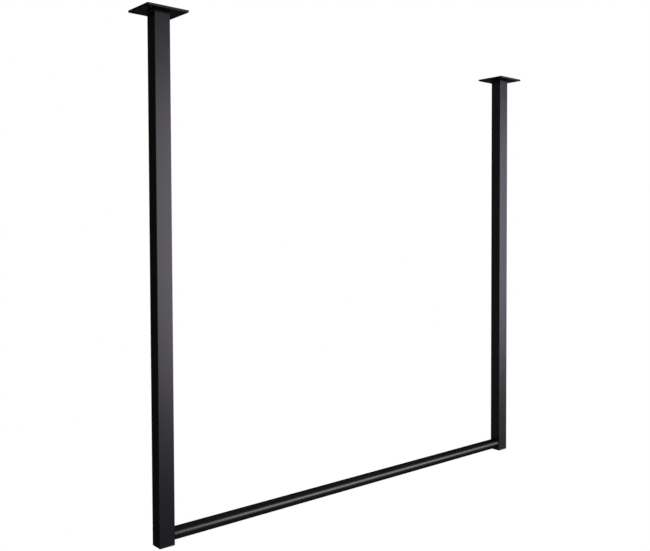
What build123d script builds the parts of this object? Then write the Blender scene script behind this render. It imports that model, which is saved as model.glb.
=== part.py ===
from build123d import *
import os

# A hanging rail for a ceiling: two square tube posts with a screw plate on each head,
# and a round rail welded between them just above their feet.
# Millimetres. The origin lies on the ceiling, midway between the posts.
# +X runs along the rail, +Z points up.

# Overall sizes
frame_width = 1000.0         # over the outer faces of the posts
drop = 1000.0                # from the ceiling to the foot of the posts
rail_foot_gap = 5.5          # from the foot of the posts up to the underside of the rail

# Square tube of the posts
post_side = 30.0
post_wall = 1.5
post_corner_radius = 0.5     # outside, on the tube's corners
post_bore_radius = 0.3       # inside them

# Ceiling plates
plate_side = 80.0
plate_thickness = 4.0
plate_corner_radius = 0.5
plate_edge_break = 0.3
screw_hole_diameter = 8.0
screw_hole_inset = 10.0      # from the plate's edges to the centre of a hole

# Round tube of the rail
rail_diameter = 25.0
rail_wall = 1.5

# Weld beads: the leg lies along each of the two faces that the bead joins
plate_weld_leg = 1.5
rail_weld_leg = 1.5

# Push-in end caps
cap_head_thickness = 2.5
cap_edge_radius = 0.4
cap_plug_length = 18.0
cap_plug_wall = 1.5
cap_fin_count = 4
cap_fin_thickness = 0.8
cap_fin_reach = 1.2          # how far the fins stand out from the plug
cap_clearance = 0.1          # between the fins and the wall of the tube

# Places that follow from the sizes
post_offset = (frame_width - post_side) / 2
post_bore = post_side - 2 * post_wall
post_top = -plate_thickness
foot = -drop
tube_end = foot + cap_head_thickness
rail_axis = foot + rail_foot_gap + rail_diameter / 2
clear_span = frame_width - 2 * post_side

SIDES = {"left": -1, "right": 1}


def post_outline():
    """The outside of the square tube."""
    return RectangleRounded(post_side, post_side, post_corner_radius)


def filled_post(side):
    """The outer form of one post from foot to plate, which the rail and its welds are cut to."""
    block = extrude(post_outline(), post_top - foot)
    return Pos(side * post_offset, 0, foot) * block


def ceiling_plate(side):
    """A flat plate with broken edges and a screw hole near each corner."""
    plate = extrude(RectangleRounded(plate_side, plate_side, plate_corner_radius), -plate_thickness)
    rims = plate.faces().filter_by(Axis.Z).edges()
    plate = chamfer(rims, plate_edge_break)
    hole_spacing = plate_side - 2 * screw_hole_inset
    hole = extrude(Circle(screw_hole_diameter / 2), -plate_thickness)
    plate -= [Pos(*corner) * hole for corner in Rectangle(hole_spacing, hole_spacing).vertices()]
    return Pos(side * post_offset, 0, 0) * plate


def post(side):
    """A square tube from the end cap's head up to the underside of the plate."""
    section = post_outline() - RectangleRounded(post_bore, post_bore, post_bore_radius)
    return Pos(side * post_offset, 0, tube_end) * extrude(section, post_top - tube_end)


def hanging_rail():
    """A round tube, cut at both ends to the faces of the posts."""
    section = Circle(rail_diameter / 2) - Circle(rail_diameter / 2 - rail_wall)
    blank_length = clear_span + 2 * post_corner_radius
    along = Plane((0, 0, rail_axis), z_dir=(1, 0, 0))
    blank = extrude(along * section, blank_length / 2, both=True)
    for side in SIDES.values():
        blank -= filled_post(side)
    return blank


def bead_section(leg):
    """The section of a fillet weld: a triangle with its root at the origin and its legs along +X and +Y."""
    return Polygon((0, 0), (leg, 0), (0, leg), align=None)


def plate_weld(side):
    """A bead that runs once round the head of the post, in the corner under the plate."""
    path = Pos(0, 0, post_top) * post_outline().wire()
    root = (post_side / 2, 0, post_top)
    across = Plane(root, x_dir=(1, 0, 0), z_dir=(0, 1, 0))
    bead = sweep(across * bead_section(plate_weld_leg), path=path)
    return Pos(side * post_offset, 0, 0) * bead


def rail_weld(side):
    """A bead that runs once round the end of the rail, cut to the post in case the rail is as wide as the post."""
    behind_face = Rectangle(post_corner_radius, rail_weld_leg, align=(Align.MAX, Align.MIN))
    section = bead_section(rail_weld_leg) + behind_face
    root = (side * clear_span / 2, 0, rail_axis + rail_diameter / 2)
    across = Plane(root, x_dir=(-side, 0, 0), z_dir=(0, side, 0))
    ring = revolve(across * section, Axis((0, 0, rail_axis), (1, 0, 0)))
    return ring - filled_post(side)


def end_cap(side):
    """A moulded cap: a head as wide as the tube, and a hollow plug whose fins brace it inside the tube."""
    head = extrude(post_outline(), cap_head_thickness)
    rim = head.faces().sort_by(Axis.Z)[0].edges()
    cap = fillet(rim, cap_edge_radius)
    fin_side = post_bore - 2 * cap_clearance
    plug_side = fin_side - 2 * cap_fin_reach
    plug_bore = plug_side - 2 * cap_plug_wall
    hollow = Rectangle(plug_bore, plug_bore)
    plug = extrude(Rectangle(plug_side, plug_side) - hollow, cap_plug_length)
    cap += Pos(0, 0, cap_head_thickness) * plug
    fin = extrude(RectangleRounded(fin_side, fin_side, cap_fin_reach) - hollow, cap_fin_thickness)
    fin_pitch = (cap_plug_length - cap_fin_thickness) / cap_fin_count
    for number in range(1, cap_fin_count + 1):
        cap += Pos(0, 0, cap_head_thickness + number * fin_pitch) * fin
    return Pos(side * post_offset, 0, foot) * cap


pieces = {"hanging_rail": hanging_rail()}
for name, side in SIDES.items():
    pieces["ceiling_plate_" + name] = ceiling_plate(side)
    pieces["post_" + name] = post(side)
    pieces["plate_weld_" + name] = plate_weld(side)
    pieces["rail_weld_" + name] = rail_weld(side)
    pieces["end_cap_" + name] = end_cap(side)

os.makedirs("parts", exist_ok=True)
for name, piece in pieces.items():
    export_step(piece, "parts/" + name + ".step")
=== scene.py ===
# %% [markdown]
# # A hanging rail for clothes
# Two square tubes hang from the ceiling on screw plates, and a round rail runs between them just above
# their feet. The whole frame is welded steel under a satin black powder coat, and plastic caps close the
# feet of the tubes. The CAD frame gives the main sizes and places. This lesson draws each piece again as a
# fine surface with softened edges, because a coat of powder rounds every edge that the light finds, and
# then gives it its finish.

# %% Load the frame
import math

import bmesh
import bpy
import numpy as np
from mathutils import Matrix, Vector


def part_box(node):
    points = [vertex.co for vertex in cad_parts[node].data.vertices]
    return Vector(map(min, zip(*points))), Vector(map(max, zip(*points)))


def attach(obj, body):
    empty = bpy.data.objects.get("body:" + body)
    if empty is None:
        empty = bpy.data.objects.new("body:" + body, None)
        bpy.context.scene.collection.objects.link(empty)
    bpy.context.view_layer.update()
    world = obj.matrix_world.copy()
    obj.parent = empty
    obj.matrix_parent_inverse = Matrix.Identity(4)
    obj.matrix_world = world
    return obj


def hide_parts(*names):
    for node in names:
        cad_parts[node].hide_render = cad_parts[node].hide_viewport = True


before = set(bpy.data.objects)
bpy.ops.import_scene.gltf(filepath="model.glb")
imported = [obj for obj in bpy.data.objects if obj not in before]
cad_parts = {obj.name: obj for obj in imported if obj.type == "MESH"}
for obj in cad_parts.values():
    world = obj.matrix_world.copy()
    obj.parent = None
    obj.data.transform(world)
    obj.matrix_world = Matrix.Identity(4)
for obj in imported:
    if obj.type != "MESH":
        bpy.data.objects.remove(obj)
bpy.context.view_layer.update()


# %% [markdown]
# ## Sizes
# What can be measured on the frame is measured there, so that a change of the drawing carries through. The
# small radii, walls and welds can't be read from a bounding box, so they are named where they are first
# needed, in metres.

# %% Read the sizes
MM = 0.001
SIDES = {"left": -1, "right": 1}
TUBE_WALL = 1.5 * MM
POST_CORNER_RADIUS = 0.5 * MM


def corners_of(node):
    """The lowest and the highest corner of a CAD node, as two arrays."""
    low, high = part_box(node)
    return np.array(low), np.array(high)


post_low, post_high = corners_of("post_right")
plate_low, plate_high = corners_of("ceiling_plate_right")
rail_low, rail_high = corners_of("hanging_rail")
cap_low, cap_high = corners_of("end_cap_right")

post_offset = (post_low[0] + post_high[0]) / 2
post_half = (post_high[0] - post_low[0]) / 2
post_length = post_high[2] - post_low[2]
post_core = post_half - POST_CORNER_RADIUS

print("post:", round(2 * post_half / MM, 2), "mm square,", round(post_length / MM, 1), "mm long")

# %% [markdown]
# ## Outlines
# Every piece of this frame is a profile carried round an outline: a tube wall, a plate's rim, a weld bead,
# a cap. Each could have an outline of its own, but one serves them all. It is kept as two arrays, a seat on
# a core square and a way to go out from it, so a rounded square of any size is the core's half side times
# the seat plus a radius times the way. With no core it is a circle.

# %% Helpers for outlines
QUARTER_TURN = np.pi / 2
SQUARE_CORNERS = np.array([[1, 1], [-1, 1], [-1, -1], [1, -1]])
CORNER_STEPS = 8
NEAR_THE_CORNERS = np.array([0.01, 0.5, 0.99])


def quarter_arc(steps):
    """The angles of a quarter circle in even steps, both ends included."""
    return np.linspace(0, QUARTER_TURN, steps + 1)


def square_outline(side_places, corner_steps=CORNER_STEPS):
    """Once round a square, anticlockwise seen from above, as seats and ways.

    In a corner the seat stays on the corner of a square of half side 1, and the way turns through a
    quarter circle. Along a side the way stays square to the side, and the seat slides to the next corner
    by the given shares.
    """
    starts = np.arange(len(SQUARE_CORNERS))[:, None] * QUARTER_TURN
    turning = starts + quarter_arc(corner_steps)
    ahead = np.repeat(starts + QUARTER_TURN, len(side_places), axis=1)
    angles = np.concatenate([turning, ahead], axis=1).ravel()
    ways = np.stack([np.cos(angles), np.sin(angles)], axis=-1)
    shares = np.concatenate([np.zeros(corner_steps + 1), side_places])[:, None]
    following = np.roll(SQUARE_CORNERS, -1, axis=0)
    seats = SQUARE_CORNERS[:, None] * (1 - shares) + following[:, None] * shares
    return seats.reshape(-1, 2), ways


print("outline of", len(square_outline(NEAR_THE_CORNERS)[0]), "points")

# %% [markdown]
# ## Grids
# A profile carried round an outline gives rows and columns of points. Blender could be told to bridge the
# rows one by one, but the faces only need the numbers of their corners, and a grid gives those by counting.

# %% Helpers for grids
def per_row(values):
    """Values that are one for each row, or one for each point of each row, ready to spread over a grid."""
    return np.reshape(values, (len(values), -1))


def at_height(flat, height):
    """Flat points lifted to a height, which is one for all, one for each row or one for each point."""
    tall = np.broadcast_to(height, flat.shape[:-1])
    return np.concatenate([flat, tall[..., None]], axis=-1)


def grid_faces(rows, columns, closed_rows):
    """The four corner numbers of every face of a grid whose points are counted row by row.

    The columns always close into a ring. Closed rows do so too: the last row then joins the first.
    """
    row = np.arange(rows if closed_rows else rows - 1)[:, None]
    column = np.arange(columns)
    next_row = (row + 1) % rows
    next_column = (column + 1) % columns
    corners = [row * columns + column, row * columns + next_column,
               next_row * columns + next_column, next_row * columns + column]
    return np.stack(corners, axis=-1).reshape(-1, 4)


def as_grid(surface, closed_rows=False):
    """A surface of rows and columns, as a list of points and the faces between them."""
    rows, columns = surface.shape[:2]
    return surface.reshape(-1, 3), grid_faces(rows, columns, closed_rows)


def ring_grid(outline, cores, radii, heights, closed_rows=False):
    """A profile carried round an outline: core times seat plus radius times way, at each row's height."""
    seats, ways = outline
    flat = per_row(cores)[..., None] * seats + per_row(radii)[..., None] * ways
    return as_grid(at_height(flat, per_row(heights)), closed_rows)


def at_post(grid, side):
    """A grid that was drawn round the upright axis, moved to the post on one side."""
    points, faces = grid
    return points + [side * post_offset, 0, 0], faces


print("posts stand", round(post_offset / MM, 1), "mm to either side of the middle")

# %% [markdown]
# ## Pieces
# A piece may be sewn from several grids. They could stay apart, but then light would catch on every seam,
# so points that fall together are merged. Only corners that are meant to be crisp are marked sharp; the
# small rounded edges stay smooth and catch the light.

# %% Helper that makes a piece
MERGE_DISTANCE = 0.001 * MM
SHARP_ANGLE = math.radians(40)


def make_piece(name, grids, node, material):
    """Joins grids of points and faces into one mesh that stands for a CAD node and rides with the frame."""
    counts = [len(points) for points, faces in grids]
    starts = np.cumsum([0] + counts[:-1])
    all_points = np.concatenate([points for points, faces in grids])
    all_faces = np.concatenate([faces + start for start, (points, faces) in zip(starts, grids)])
    mesh = bpy.data.meshes.new(name)
    mesh.from_pydata(all_points.tolist(), [], all_faces.tolist())
    sewn = bmesh.new()
    sewn.from_mesh(mesh)
    bmesh.ops.remove_doubles(sewn, verts=sewn.verts, dist=MERGE_DISTANCE)
    sewn.to_mesh(mesh)
    sewn.free()
    mesh.polygons.foreach_set("use_smooth", np.ones(len(mesh.polygons), dtype=bool))
    mesh.set_sharp_from_angle(angle=SHARP_ANGLE)
    mesh.materials.append(material)
    piece = bpy.data.objects.new(name, mesh)
    bpy.context.collection.objects.link(piece)
    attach(piece, "root")
    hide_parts(node)
    print(name, "has", len(mesh.polygons), "faces")


print("points within", MERGE_DISTANCE / MM, "mm of each other are merged")

# %% [markdown]
# ## Finishes
# A finish is a small tree of nodes. Noise feeds it three times: as colour through a ramp, as roughness
# through a range and as height through a bump. A photograph could be wrapped on instead, but noise in
# object space has no seams and no stretch.

# %% Helpers for materials
TONES_FROM = 0.35
TONES_TO = 0.65


def new_material(name):
    """A new material, its tree of nodes and the shader in it."""
    material = bpy.data.materials.new(name)
    material.use_nodes = True
    tree = material.node_tree
    return material, tree, tree.nodes["Principled BSDF"]


def add_noise(tree, place, cells_per_metre, detail):
    """Cloudy noise in object space, with about that many cells to the metre."""
    noise = tree.nodes.new("ShaderNodeTexNoise")
    noise.inputs["Scale"].default_value = cells_per_metre
    noise.inputs["Detail"].default_value = detail
    tree.links.new(place.outputs["Object"], noise.inputs["Vector"])
    return noise.outputs["Fac"]


def add_two_tones(tree, factor, dark, light):
    """A ramp from a dark to a light colour over the middle of the noise."""
    ramp = tree.nodes.new("ShaderNodeValToRGB")
    first, last = ramp.color_ramp.elements
    first.position, first.color = TONES_FROM, dark
    last.position, last.color = TONES_TO, light
    tree.links.new(factor, ramp.inputs["Fac"])
    return ramp.outputs["Color"]


def add_range(tree, factor, low, high):
    """Stretches a factor between two values."""
    stretch = tree.nodes.new("ShaderNodeMapRange")
    stretch.inputs["To Min"].default_value = low
    stretch.inputs["To Max"].default_value = high
    tree.links.new(factor, stretch.inputs["Value"])
    return stretch


def add_bump(tree, height, strength, depth, below=None):
    """A bump from a height, on top of another bump where one is given."""
    bump = tree.nodes.new("ShaderNodeBump")
    bump.inputs["Strength"].default_value = strength
    bump.inputs["Distance"].default_value = depth
    tree.links.new(height, bump.inputs["Height"])
    if below is not None:
        tree.links.new(below, bump.inputs["Normal"])
    return bump.outputs["Normal"]


print("colours change over noise from", TONES_FROM, "to", TONES_TO)

# %% [markdown]
# ## Base and clear coat
# The gloss could come from the shader's own base layer, but a clear coat can be set apart from the colour
# below. A coat mirrors its surroundings, and the more so the lower the angle. Here they are white all round
# and would wash the black out, so the coat is weak, and weaker still where a face turns far away from the
# eye, which a Layer Weight node tells.

# %% Helpers for base and coat
COAT_IOR = 1.5
FULL_COAT_UP_TO = 52
THIN_COAT_FROM = 64
THIN_COAT_SHARE = 0.2


def add_base(tree, shader, colour, roughness, skin):
    """The coloured layer under the coat, with no gloss of its own."""
    tree.links.new(colour, shader.inputs["Base Color"])
    tree.links.new(roughness.outputs["Result"], shader.inputs["Roughness"])
    tree.links.new(skin, shader.inputs["Normal"])
    shader.inputs["Specular IOR Level"].default_value = 0


def turned_away(degrees):
    """How far a face turns away from the eye, from 0 to 1: one minus the cosine of the angle."""
    return 1 - math.cos(math.radians(degrees))


def add_coat(tree, shader, skin, strength, roughness):
    """A clear coat over a bumped skin, full where a face is seen square on and thin at low angles."""
    facing = tree.nodes.new("ShaderNodeLayerWeight").outputs["Facing"]
    weight = add_range(tree, facing, low=strength, high=strength * THIN_COAT_SHARE)
    weight.inputs["From Min"].default_value = turned_away(FULL_COAT_UP_TO)
    weight.inputs["From Max"].default_value = turned_away(THIN_COAT_FROM)
    tree.links.new(weight.outputs["Result"], shader.inputs["Coat Weight"])
    tree.links.new(skin, shader.inputs["Coat Normal"])
    shader.inputs["Coat Roughness"].default_value = roughness
    shader.inputs["Coat IOR"].default_value = COAT_IOR


print("full coat up to", FULL_COAT_UP_TO, "degrees,", THIN_COAT_SHARE, "of it from", THIN_COAT_FROM, "on")

# %% [markdown]
# ## The powder coat
# Powder is sprayed on dry and melted in an oven, so it sets as one even skin with a faint orange peel and a
# satin gloss over a nearly black pigment. One noise could do for all of it, but peel and grain differ in
# size, so each has its own, and the two bumps together tilt the coat by a hair.

# %% Powder coat material
PIGMENT_DARK = (0.0014, 0.0014, 0.0017, 1)
PIGMENT_LIGHT = (0.0026, 0.0025, 0.0029, 1)
PATCHES_PER_METRE = 22
PATCH_DETAIL = 3
PEEL_CELLS_PER_METRE = 420
PEEL_DETAIL = 1
PEEL_STRENGTH = 0.6
PEEL_DEPTH = 0.03 * MM
GRAIN_CELLS_PER_METRE = 2600
GRAIN_DETAIL = 2
GRAIN_STRENGTH = 0.3
GRAIN_DEPTH = 0.005 * MM
SMOOTHEST_PIGMENT = 0.40
ROUGHEST_PIGMENT = 0.52
COAT_STRENGTH = 0.12
COAT_ROUGHNESS = 0.30


def powder_coat():
    """Near-black pigment in faint patches under a weak satin coat with orange peel and a fine grain."""
    material, tree, shader = new_material("black_powder_coat")
    place = tree.nodes.new("ShaderNodeTexCoord")
    patches = add_noise(tree, place, PATCHES_PER_METRE, PATCH_DETAIL)
    peel = add_noise(tree, place, PEEL_CELLS_PER_METRE, PEEL_DETAIL)
    grain = add_noise(tree, place, GRAIN_CELLS_PER_METRE, GRAIN_DETAIL)
    pigment = add_two_tones(tree, patches, PIGMENT_DARK, PIGMENT_LIGHT)
    roughness = add_range(tree, grain, SMOOTHEST_PIGMENT, ROUGHEST_PIGMENT)
    peel_bump = add_bump(tree, peel, PEEL_STRENGTH, PEEL_DEPTH)
    skin = add_bump(tree, grain, GRAIN_STRENGTH, GRAIN_DEPTH, below=peel_bump)
    add_base(tree, shader, pigment, roughness, skin)
    add_coat(tree, shader, skin, COAT_STRENGTH, COAT_ROUGHNESS)
    return material


coat = powder_coat()
print("material", coat.name, "with", len(coat.node_tree.nodes), "nodes")

# %% [markdown]
# ## The posts
# Each post is a square tube with tightly rounded corners, sawn square at both ends. A cube could stand in
# for it, but the tube is hollow and the rounded corners draw the thin bright or dark lines down its length.
# The profile goes up the outside, over the top, down the bore and back round the foot, so the wall is
# closed all round.

# %% Posts
SAW_EDGE_RADIUS = 0.3 * MM
BORE_CORNER_RADIUS = 0.3 * MM
POST_ROWS = 24
EDGE_STEPS = 4
EDGE_MARGIN = 3


def rounded_wall(low, high, edge_radius, rows):
    """How far in and how high a wall with two rounded edges goes, from its lower to its upper edge.

    Each edge is a quarter circle. The rows between them keep a margin of a few radii, so that the wall
    shades flat.
    """
    arc = quarter_arc(EDGE_STEPS)
    margin = EDGE_MARGIN * edge_radius
    span = np.linspace(low + margin, high - margin, rows)
    inward = np.concatenate([1 - np.sin(arc), np.zeros(rows), 1 - np.cos(arc)]) * edge_radius
    lower = low + edge_radius * (1 - np.cos(arc))
    upper = high - edge_radius * (1 - np.sin(arc))
    return inward, np.concatenate([lower, span, upper])


def square_post(name, side):
    """A closed tube wall: the outside going up with rounded edges, then the bore going down."""
    inward, outside = rounded_wall(post_low[2], post_high[2], SAW_EDGE_RADIUS, POST_ROWS)
    bore = np.array([post_high[2], post_low[2]])
    heights = np.concatenate([outside, bore])
    radii = np.concatenate([POST_CORNER_RADIUS - inward, np.full(len(bore), BORE_CORNER_RADIUS)])
    bore_core = post_half - TUBE_WALL - BORE_CORNER_RADIUS
    cores = np.concatenate([np.full(len(outside), post_core), np.full(len(bore), bore_core)])
    wall = ring_grid(square_outline(NEAR_THE_CORNERS), cores, radii, heights, closed_rows=True)
    make_piece("square_post_" + name, [at_post(wall, side)], "post_" + name, coat)


for name, side in SIDES.items():
    square_post(name, side)

# %% [markdown]
# ## The screw plates
# A plate is cut from flat bar, its edges are broken by hand and four holes take the screws. A boolean could
# punch the holes, but it leaves long slivers that shade badly. Here each quarter of the plate is a fan of
# faces from its own hole out to the quarter's edge, so all the faces round a hole lie in neat rings.

# %% One quarter of a plate
PLATE_CORNER_RADIUS = 0.5 * MM
PLATE_EDGE_RADIUS = 0.3 * MM
HOLE_RADIUS = 4.0 * MM
HOLE_INSET = 10.0 * MM
HALF_SIDE_PLACES = np.array([0.01, 0.1, 0.25, 0.5, 0.75, 0.9, 0.99])
RULED_SHARES = np.array([0, 0.04, 0.3, 0.65, 0.96, 1])
SPOKE_POINTS = 6

plate_half = (plate_high[0] - plate_low[0]) / 2
plate_core = plate_half - PLATE_CORNER_RADIUS
hole_centre = np.full(2, plate_half - HOLE_INSET)


def quarter_boundary():
    """The edge of a quarter of the plate's flat face: round its corner, in to the middle, out again."""
    seats, ways = square_outline(HALF_SIDE_PLACES)
    whole = plate_core * seats + (PLATE_CORNER_RADIUS - PLATE_EDGE_RADIUS) * ways
    length = len(whole) // len(SQUARE_CORNERS)
    from_side_middle = np.roll(whole, len(HALF_SIDE_PLACES) // 2 + 1, axis=0)
    outer = from_side_middle[:length + 1]
    shares = np.linspace(0, 1, SPOKE_POINTS)[:, None]
    inward = shares[-2::-1] * outer[-1]
    outward = shares[1:-1] * outer[0]
    return np.concatenate([outer, inward, outward])


def ruled(first, last):
    """A flat face drawn between two loops, by shares of the way from the first to the last."""
    shares = RULED_SHARES[:, None, None]
    return first * (1 - shares) + last * shares


def plate_quarter(inward, heights):
    """A lower face, an upper face and a hole wall, in columns that run out from the hole's middle."""
    edge = quarter_boundary()
    out = edge - hole_centre
    out /= np.linalg.norm(out, axis=1, keepdims=True)
    mouth = hole_centre + (HOLE_RADIUS + PLATE_EDGE_RADIUS) * out
    lower_face = as_grid(at_height(ruled(mouth, edge), heights[0]))
    upper_face = as_grid(at_height(ruled(edge, mouth), heights[-1]))
    wall_radii = (HOLE_RADIUS + inward)[::-1]
    wall = hole_centre + wall_radii[:, None, None] * out
    hole_wall = as_grid(at_height(wall, per_row(heights[::-1])))
    return [lower_face, upper_face, hole_wall]


print("plate", round(2 * plate_half / MM, 1), "mm square, holes", HOLE_RADIUS / MM, "mm in radius")

# %% [markdown]
# The other quarters could be drawn in the same way, but all four are alike, so the one is turned about the
# middle. One rounded rim closes the plate.

# %% Screw plates
WALL_ROWS = 2


def turned(grid, quarter_turns):
    """A grid turned about the upright axis by quarter turns."""
    points, faces = grid
    angle = quarter_turns * QUARTER_TURN
    turn = np.array([[np.cos(angle), np.sin(angle), 0], [-np.sin(angle), np.cos(angle), 0], [0, 0, 1]])
    return points @ turn, faces


def screw_plate(name, side):
    """Four turned quarters inside one rounded rim."""
    inward, heights = rounded_wall(plate_low[2], plate_high[2], PLATE_EDGE_RADIUS, WALL_ROWS)
    quarter = plate_quarter(inward, heights)
    cores = np.full(len(heights), plate_core)
    rim = ring_grid(square_outline(HALF_SIDE_PLACES), cores, PLATE_CORNER_RADIUS - inward, heights)
    grids = [turned(grid, turns) for turns in range(len(SQUARE_CORNERS)) for grid in quarter] + [rim]
    placed = [at_post(grid, side) for grid in grids]
    make_piece("screw_plate_" + name, placed, "ceiling_plate_" + name, coat)


for name, side in SIDES.items():
    screw_plate(name, side)

# %% [markdown]
# ## The rail
# Hangers slide along a round tube, cut square and set flat against the inner faces of the posts. A
# primitive cylinder would do for the outside, but this wall has its bore too. It is the same ring surface
# with no core, laid on its side: what was height now runs along the rail.

# %% Rail
RAIL_CORNER_STEPS = 32
RAIL_ROWS = 40
NO_SIDES = np.array([])

rail_radius = (rail_high[2] - rail_low[2]) / 2
rail_axis = (rail_high[2] + rail_low[2]) / 2
rail_half_length = rail_high[0]


def laid_along_rail(grid, start=0, way=1):
    """An upright ring laid on the rail's axis: up becomes along, from a start and one way or back."""
    points, faces = grid
    across, up, along = points.T
    return np.stack([start + way * along, way * across, up + rail_axis], axis=-1), faces


def round_rail():
    """A closed tube wall: the outside one way along the rail, the bore back again."""
    outside = np.linspace(-rail_half_length, rail_half_length, RAIL_ROWS)
    bore = np.array([rail_half_length, -rail_half_length])
    heights = np.concatenate([outside, bore])
    radii = np.concatenate([np.full(RAIL_ROWS, rail_radius), np.full(len(bore), rail_radius - TUBE_WALL)])
    no_cores = np.zeros(len(heights))
    outline = square_outline(NO_SIDES, RAIL_CORNER_STEPS)
    wall = ring_grid(outline, no_cores, radii, heights, closed_rows=True)
    make_piece("round_rail", [laid_along_rail(wall)], "hanging_rail", coat)


round_rail()

# %% [markdown]
# ## The welds
# A weld bead is laid as a row of small overlapping pools, so it bulges a little and carries bowed ripples,
# the set edges of those pools. A bump map could fake them, but the ripples are real shape under the coat,
# so they are worked into the surface: the bulge of the bead's face rises and falls along the run.

# %% Helpers for weld beads
WELD_LEG = 1.5 * MM
BEAD_BULGE = 0.16 * MM
RIPPLE_HEIGHT = 0.05 * MM
RIPPLE_PITCH = 1.4 * MM
RIPPLE_BOW = 0.8
BEAD_ROWS = 9

bead_share = np.linspace(0, 1, BEAD_ROWS)[:, None]


def bead_swell(run, run_length):
    """How far a bead's face stands out of the straight line between its two toes.

    A half sine from toe to toe, whose height follows a cosine along the run; the cosine is shifted by how
    near the middle of the bead a point is, which bows the ripples.
    """
    ripples = round(run_length / RIPPLE_PITCH)
    arch = np.sin(np.pi * bead_share)
    phase = 2 * np.pi * ripples * run / run_length - RIPPLE_BOW * np.pi * arch
    return arch * (BEAD_BULGE + RIPPLE_HEIGHT * np.cos(phase))


def bead_legs(outline, core, radius):
    """How far a bead reaches along each of its two legs, row by row from toe to toe and then at its root.

    One leg shrinks by even shares while the other grows, and the swell, which is square to the bead's face,
    is added to both. The run is measured along a loop that stands half a leg out from the tube.
    """
    seats, ways = outline
    loop = core * seats + (radius + WELD_LEG / 2) * ways
    steps = np.linalg.norm(np.roll(loop, -1, axis=0) - loop, axis=1)
    run = np.concatenate([[0], np.cumsum(steps)[:-1]])
    swell = bead_swell(run, steps.sum()) / math.sqrt(2)
    root = np.zeros((1, len(loop)))
    shrinking = np.concatenate([WELD_LEG * (1 - bead_share) + swell, root])
    growing = np.concatenate([WELD_LEG * bead_share + swell, root])
    return shrinking, growing


print("bead legs", WELD_LEG / MM, "mm, a ripple every", RIPPLE_PITCH / MM, "mm")

# %% [markdown]
# The first kind of bead runs round the head of a post and joins it to its plate. The second runs round an
# end of the rail and joins it to the post's face. Both are the same profile, on a square outline and on a
# round one.

# %% Weld beads
HEAD_WELD_SIDE_STEPS = 81
RAIL_WELD_CORNER_STEPS = 60

head_weld_side_places = np.linspace(0, 1, HEAD_WELD_SIDE_STEPS + 1)[1:-1]


def head_weld(name, side):
    """A bead in the corner between a post's head and its plate, carried round the post."""
    outline = square_outline(head_weld_side_places)
    drop, reach = bead_legs(outline, post_core, POST_CORNER_RADIUS)
    cores = np.full(len(reach), post_core)
    bead = ring_grid(outline, cores, POST_CORNER_RADIUS + reach, post_high[2] - drop, closed_rows=True)
    make_piece("head_weld_" + name, [at_post(bead, side)], "plate_weld_" + name, coat)


def rail_weld(name, side):
    """A bead in the corner between the end of the rail and the post's face, carried round the rail."""
    outline = square_outline(NO_SIDES, RAIL_WELD_CORNER_STEPS)
    out, off_face = bead_legs(outline, 0, rail_radius)
    no_cores = np.zeros(len(out))
    bead = ring_grid(outline, no_cores, rail_radius + out, off_face, closed_rows=True)
    placed = laid_along_rail(bead, start=side * rail_half_length, way=-side)
    make_piece("rail_end_weld_" + name, [placed], "rail_weld_" + name, coat)


for weld in (head_weld, rail_weld):
    for name, side in SIDES.items():
        weld(name, side)

# %% [markdown]
# ## The foot caps
# A moulded cap closes the open foot of each tube. The powder's material could serve here too, but moulded
# plastic has a fine etched grain from the steel of its mould instead of the powder's peel, and a duller
# gloss.

# %% Cap plastic
PLASTIC_DARK = (0.0042, 0.0042, 0.0044, 1)
PLASTIC_LIGHT = (0.0060, 0.0060, 0.0062, 1)
FLOW_PATCHES_PER_METRE = 88
FLOW_DETAIL = 2
ETCH_CELLS_PER_METRE = 1800
ETCH_DETAIL = 3
ETCH_STRENGTH = 0.25
ETCH_DEPTH = 0.03 * MM
SMOOTHEST_PLASTIC = 0.50
ROUGHEST_PLASTIC = 0.64
PLASTIC_COAT_STRENGTH = 0.1
PLASTIC_COAT_ROUGHNESS = 0.42


def moulded_plastic():
    """Black plastic with faint flow patches and the fine etched grain of its mould."""
    material, tree, shader = new_material("black_moulded_plastic")
    place = tree.nodes.new("ShaderNodeTexCoord")
    flow = add_noise(tree, place, FLOW_PATCHES_PER_METRE, FLOW_DETAIL)
    etch = add_noise(tree, place, ETCH_CELLS_PER_METRE, ETCH_DETAIL)
    colour = add_two_tones(tree, flow, PLASTIC_DARK, PLASTIC_LIGHT)
    roughness = add_range(tree, etch, SMOOTHEST_PLASTIC, ROUGHEST_PLASTIC)
    skin = add_bump(tree, etch, ETCH_STRENGTH, ETCH_DEPTH)
    add_base(tree, shader, colour, roughness, skin)
    add_coat(tree, shader, skin, PLASTIC_COAT_STRENGTH, PLASTIC_COAT_ROUGHNESS)
    return material


plastic = moulded_plastic()
print("material", plastic.name, "with", len(plastic.node_tree.nodes), "nodes")

# %% [markdown]
# The cap has a thin head as wide as the tube, and a hollow plug with four fins that brace it inside.
# It could be joined from blocks, but one profile carried round a square has no hidden walls: it goes from
# the middle of the underside out over the rounded rim, up past the fins and down into the hollow again.

# %% Cap profile
CAP_EDGE_RADIUS = 0.4 * MM
CAP_EDGE_STEPS = 6
CAP_SEAM_RADIUS = 0.2 * MM
CAP_SEAM_STEPS = 3
CAP_CLEARANCE = 0.1 * MM
PLUG_WALL = 1.5 * MM
PLUG_CORNER_RADIUS = 0.5 * MM
FIN_COUNT = 4
FIN_THICKNESS = 0.8 * MM
FIN_REACH = 1.2 * MM
UNDERSIDE_SHARES = np.array([0, 0.35, 0.7, 0.97])

cap_head_top = post_low[2]
fin_core = post_half - TUBE_WALL - CAP_CLEARANCE - FIN_REACH
plug_core = fin_core - PLUG_CORNER_RADIUS
hollow_core = plug_core - PLUG_WALL


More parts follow.
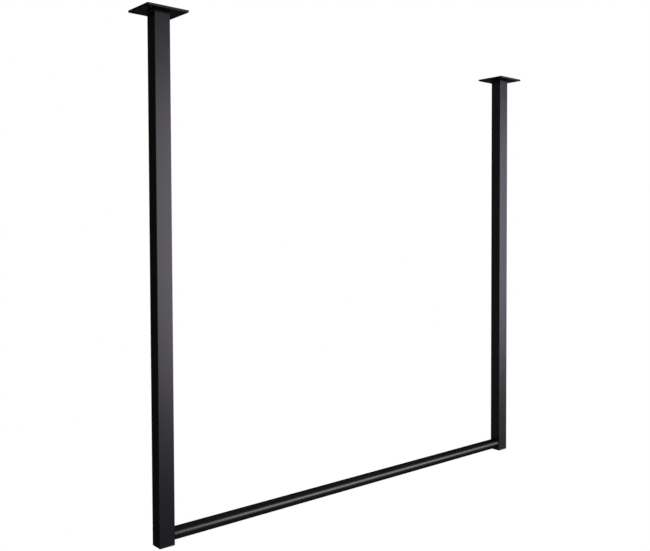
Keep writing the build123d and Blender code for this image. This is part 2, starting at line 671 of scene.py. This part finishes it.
def cap_head_rows():
    """Core, radius and height of the head's rows: underside from its middle, rounded rim, seam edge."""
    rim = quarter_arc(CAP_EDGE_STEPS)
    seam = quarter_arc(CAP_SEAM_STEPS)
    underside_radius = POST_CORNER_RADIUS - CAP_EDGE_RADIUS
    radii = np.concatenate([UNDERSIDE_SHARES * underside_radius,
                            underside_radius + CAP_EDGE_RADIUS * np.sin(rim),
                            POST_CORNER_RADIUS - CAP_SEAM_RADIUS * (1 - np.cos(seam))])
    heights = np.concatenate([np.full(len(UNDERSIDE_SHARES), cap_low[2]),
                              cap_low[2] + CAP_EDGE_RADIUS * (1 - np.cos(rim)),
                              cap_head_top - CAP_SEAM_RADIUS * (1 - np.sin(seam))])
    cores = np.concatenate([UNDERSIDE_SHARES, np.ones(len(rim) + len(seam))]) * post_core
    return np.stack([cores, radii, heights])


def plug_rows():
    """Core, radius and height of the plug's rows: in and out over each fin, then down the hollow."""
    pitch = (cap_high[2] - cap_head_top - FIN_THICKNESS) / FIN_COUNT
    fin_feet = cap_head_top + pitch * np.arange(1, FIN_COUNT + 1)
    fin_tops = fin_feet + FIN_THICKNESS
    fin_heights = np.stack([fin_feet, fin_feet, fin_tops, fin_tops], axis=1).ravel()
    heights = np.concatenate([[cap_head_top], fin_heights, [cap_high[2], cap_head_top, cap_head_top]])
    fin_cores = np.tile([plug_core, fin_core, fin_core, plug_core], FIN_COUNT)
    fin_radii = np.tile([PLUG_CORNER_RADIUS, FIN_REACH, FIN_REACH, PLUG_CORNER_RADIUS], FIN_COUNT)
    cores = np.concatenate([[plug_core], fin_cores, [hollow_core, hollow_core, 0]])
    radii = np.concatenate([[PLUG_CORNER_RADIUS], fin_radii, [PLUG_CORNER_RADIUS, PLUG_CORNER_RADIUS, 0]])
    return np.stack([cores, radii, heights])


print("cap head", round((cap_head_top - cap_low[2]) / MM, 2), "mm thick, plug with", FIN_COUNT, "fins")

# %% [markdown]
# Seen from above, head, plug and fins are rounded squares like the post, so the cap's rows go round the same
# outline. The fins could be rings of their own, but as rows of the profile they need no joining.

# %% Foot caps
def foot_cap(name, side):
    """The head's rows followed by the plug's rows, closed at a point in the middle of both ends."""
    cores, radii, heights = np.concatenate([cap_head_rows(), plug_rows()], axis=1)
    cap = ring_grid(square_outline(NEAR_THE_CORNERS), cores, radii, heights)
    make_piece("foot_cap_" + name, [at_post(cap, side)], "end_cap_" + name, plastic)


for name, side in SIDES.items():
    foot_cap(name, side)

# %% [markdown]
# ## Surroundings
# The picture's background is plain white. Lamps on a white wall could make it, but they would light the
# frame as well. Here whatever is looked at, mirrored or seen through glass is white, while the rays that
# only carry light get a mild, even fill.

# %% White surroundings
WHITE = (1, 1, 1, 1)
FILL_LIGHT = 0.45


def seen_directly_or_mirrored(tree):
    """One for camera, mirror and glass rays, nought for the rays that only carry light."""
    rays = tree.nodes.new("ShaderNodeLightPath")
    mirrored = tree.nodes.new("ShaderNodeMath")
    mirrored.operation = "MAXIMUM"
    seen = tree.nodes.new("ShaderNodeMath")
    seen.operation = "MAXIMUM"
    tree.links.new(rays.outputs["Is Glossy Ray"], mirrored.inputs[0])
    tree.links.new(rays.outputs["Is Transmission Ray"], mirrored.inputs[1])
    tree.links.new(rays.outputs["Is Camera Ray"], seen.inputs[0])
    tree.links.new(mirrored.outputs["Value"], seen.inputs[1])
    return seen.outputs["Value"]


def white_surroundings():
    """White where it is seen or mirrored, and a mild even fill light for everything else."""
    world = bpy.data.worlds.new("white_surroundings")
    world.use_nodes = True
    tree = world.node_tree
    fill = tree.nodes["Background"]
    fill.inputs["Color"].default_value = WHITE
    fill.inputs["Strength"].default_value = FILL_LIGHT
    white = tree.nodes.new("ShaderNodeBackground")
    white.inputs["Color"].default_value = WHITE
    white.inputs["Strength"].default_value = 1
    mix = tree.nodes.new("ShaderNodeMixShader")
    tree.links.new(seen_directly_or_mirrored(tree), mix.inputs["Fac"])
    tree.links.new(fill.outputs["Background"], mix.inputs[1])
    tree.links.new(white.outputs["Background"], mix.inputs[2])
    tree.links.new(mix.outputs["Shader"], tree.nodes["World Output"].inputs["Surface"])
    bpy.context.scene.world = world


white_surroundings()
bpy.context.scene.view_settings.view_transform = "Standard"
print("white surroundings with a fill light of", FILL_LIGHT)

# %% [markdown]
# ## Floor
# The frame hangs well above a pale floor. A bare plane would end in a grey horizon, so the floor is matt
# paint that takes the frame's soft shadow close below, and turns into the white of the surroundings further
# out. A spherical gradient measures how near a place is.

# %% Floor paint
FLOOR_HEIGHT = -3.0
FLOOR_PAINT = (0.86, 0.86, 0.86, 1)
FLOOR_ROUGHNESS = 0.9
FLOOR_FADE_FROM = 1.76
FLOOR_FADE_TO = 4.4
FLOOR_WHITE_BELOW = 0.6


def add_whiteness(tree):
    """How white the floor is: partly out to where the fade starts, fully from where it ends."""
    place = tree.nodes.new("ShaderNodeTexCoord")
    scaled = tree.nodes.new("ShaderNodeMapping")
    scaled.inputs["Location"].default_value = (0, 0, -FLOOR_HEIGHT / FLOOR_FADE_TO)
    scaled.inputs["Scale"].default_value = (1 / FLOOR_FADE_TO,) * 3
    nearness = tree.nodes.new("ShaderNodeTexGradient")
    nearness.gradient_type = "SPHERICAL"
    tree.links.new(place.outputs["Object"], scaled.inputs["Vector"])
    tree.links.new(scaled.outputs["Vector"], nearness.inputs["Vector"])
    fade = add_range(tree, nearness.outputs["Fac"], low=1, high=FLOOR_WHITE_BELOW)
    fade.interpolation_type = "SMOOTHSTEP"
    fade.inputs["From Max"].default_value = 1 - FLOOR_FADE_FROM / FLOOR_FADE_TO
    return fade.outputs["Result"]


def floor_material():
    """Matt pale paint that turns to plain white with the distance from the frame."""
    material, tree, shader = new_material("pale_floor")
    shader.inputs["Base Color"].default_value = FLOOR_PAINT
    shader.inputs["Roughness"].default_value = FLOOR_ROUGHNESS
    shader.inputs["Specular IOR Level"].default_value = 0
    white = tree.nodes.new("ShaderNodeEmission")
    white.inputs["Strength"].default_value = 1
    share = tree.nodes.new("ShaderNodeMath")
    share.operation = "MULTIPLY"
    mix = tree.nodes.new("ShaderNodeMixShader")
    tree.links.new(add_whiteness(tree), share.inputs[0])
    tree.links.new(seen_directly_or_mirrored(tree), share.inputs[1])
    tree.links.new(share.outputs["Value"], mix.inputs["Fac"])
    tree.links.new(shader.outputs["BSDF"], mix.inputs[1])
    tree.links.new(white.outputs["Emission"], mix.inputs[2])
    tree.links.new(mix.outputs["Shader"], tree.nodes["Material Output"].inputs["Surface"])
    return material


print("floor paint", FLOOR_PAINT[:3], "fades to white from", FLOOR_FADE_FROM, "to", FLOOR_FADE_TO, "m out")

# %% [markdown]
# A whole room could stand round the frame, but nothing of it would be seen, so one flat square is enough.

# %% Floor
FLOOR_HALF_SIZE = 30.0


def pale_floor():
    """A flat square under the frame."""
    points = at_height(FLOOR_HALF_SIZE * SQUARE_CORNERS, FLOOR_HEIGHT)
    mesh = bpy.data.meshes.new("floor")
    mesh.from_pydata(points.tolist(), [], [range(len(points))])
    mesh.materials.append(floor_material())
    floor = bpy.data.objects.new("floor", mesh)
    bpy.context.collection.objects.link(floor)


pale_floor()
print("floor", -FLOOR_HEIGHT, "m below the ceiling,", 2 * FLOOR_HALF_SIZE, "m square")

# %% [markdown]
# ## Light
# One large soft box stands to the right in front, at the height of the lens. Black paint returns nearly all
# its light as gloss, so what shapes the frame is the soft box mirrored in the faces that point to the
# front: brightest at its own height, fading towards plates and feet, and drawn out to one thin line along
# the rail. A single lamp could do it, but the weak coat needs more than colours do, so the box is set up as
# two: one lights colours at a plain level, and one that only gloss can see stands just in front of it,
# because two lamps in one plane would hide parts of each other.

# %% Soft box
UPRIGHT = math.radians(90)
BOX_SIZE = (3.06, 1.96)
BOX_CENTRE = (2.53, -3.1, -0.42)
BOX_COLOUR = (0.93, 0.87, 1.0)
COLOUR_LIGHT_WATTS = 150
GLOSS_LIGHT_WATTS = 910
GLOSS_IN_FRONT = 0.02


def soft_box(name, centre, turn, size, watts):
    """A large upright lamp of some width and height that isn't seen itself.

    With no turn it faces along +Y. A turn in degrees swings it to the left, a negative one to the right.
    """
    lamp = bpy.data.lights.new(name, "AREA")
    lamp.shape = "RECTANGLE"
    lamp.size, lamp.size_y = size
    lamp.color = BOX_COLOUR
    lamp.energy = watts
    box = bpy.data.objects.new(name, lamp)
    box.location = centre
    box.rotation_euler = (UPRIGHT, 0, math.radians(turn))
    box.visible_camera = False
    bpy.context.collection.objects.link(box)
    return box


colour_light = soft_box("soft_box_for_colour", BOX_CENTRE, 0, BOX_SIZE, COLOUR_LIGHT_WATTS)
colour_light.visible_glossy = False
gloss_centre = np.add(BOX_CENTRE, (0, GLOSS_IN_FRONT, 0))
gloss_light = soft_box("soft_box_for_gloss", gloss_centre, 0, BOX_SIZE, GLOSS_LIGHT_WATTS)
gloss_light.visible_diffuse = False
print("soft box of", BOX_SIZE, "m at", BOX_CENTRE)

# %% [markdown]
# Seen from its other sides, the frame would be a flat black shape against white. Fill light could lift it,
# but it would lift the black everywhere. Instead three smaller soft boxes stand round the frame, where the
# faces that the camera sees hardly mirror them, and draw a soft light down faces that it doesn't see. Only
# the back stays dark. Gloss alone can see these boxes, so they change no colour.

# %% Side boxes
SIDE_BOX_SIZE = (1.6, 2.0)
SIDE_BOX_WATTS = 200
SIDE_BOXES = {"right": ((3.4, 0.6, -1.0), 100),
              "left": ((-3.4, -0.7, -1.0), -85),
              "front_left": ((-2.3, -2.9, -1.0), -38)}

for name, (centre, turn) in SIDE_BOXES.items():
    side_light = soft_box("side_box_" + name, centre, turn, SIDE_BOX_SIZE, SIDE_BOX_WATTS)
    side_light.visible_diffuse = False
    print("side box", name, "at", centre, "turned", turn, "degrees")

# %% [markdown]
# ## Camera
# The picture was taken from the left in front, with the lens two fifths of the way down the posts. A camera
# could be placed by eye, but the edges of posts, rail and plates fix the lens and its place, so these are
# written down: the focal length and the lens's axis in pixels, the place in metres and both angles in
# radians. The frame hangs left of the axis, so the sensor is shifted a little.

# %% Camera
PICTURE_WIDTH = 650
PICTURE_HEIGHT = 551
SENSOR_WIDTH = 36
FOCAL_PIXELS = 805.7
AXIS_PIXEL = (425.0, 256.4)
CAMERA_PLACE = (-1.1842, -1.4184, -0.4091)
TURN_FROM_FRONT = 0.7748
TILT = -0.0305

lens = bpy.data.cameras.new("camera")
lens.sensor_fit = "HORIZONTAL"
lens.sensor_width = SENSOR_WIDTH
lens.lens = FOCAL_PIXELS / PICTURE_WIDTH * SENSOR_WIDTH
lens.shift_x = (PICTURE_WIDTH / 2 - AXIS_PIXEL[0]) / PICTURE_WIDTH
lens.shift_y = (AXIS_PIXEL[1] - PICTURE_HEIGHT / 2) / PICTURE_WIDTH
camera = bpy.data.objects.new("camera", lens)
camera.location = CAMERA_PLACE
camera.rotation_euler = (UPRIGHT + TILT, 0, -TURN_FROM_FRONT)
bpy.context.collection.objects.link(camera)
bpy.context.scene.camera = camera
print("lens", round(lens.lens, 2), "mm, shift", round(lens.shift_x, 4), round(lens.shift_y, 4))
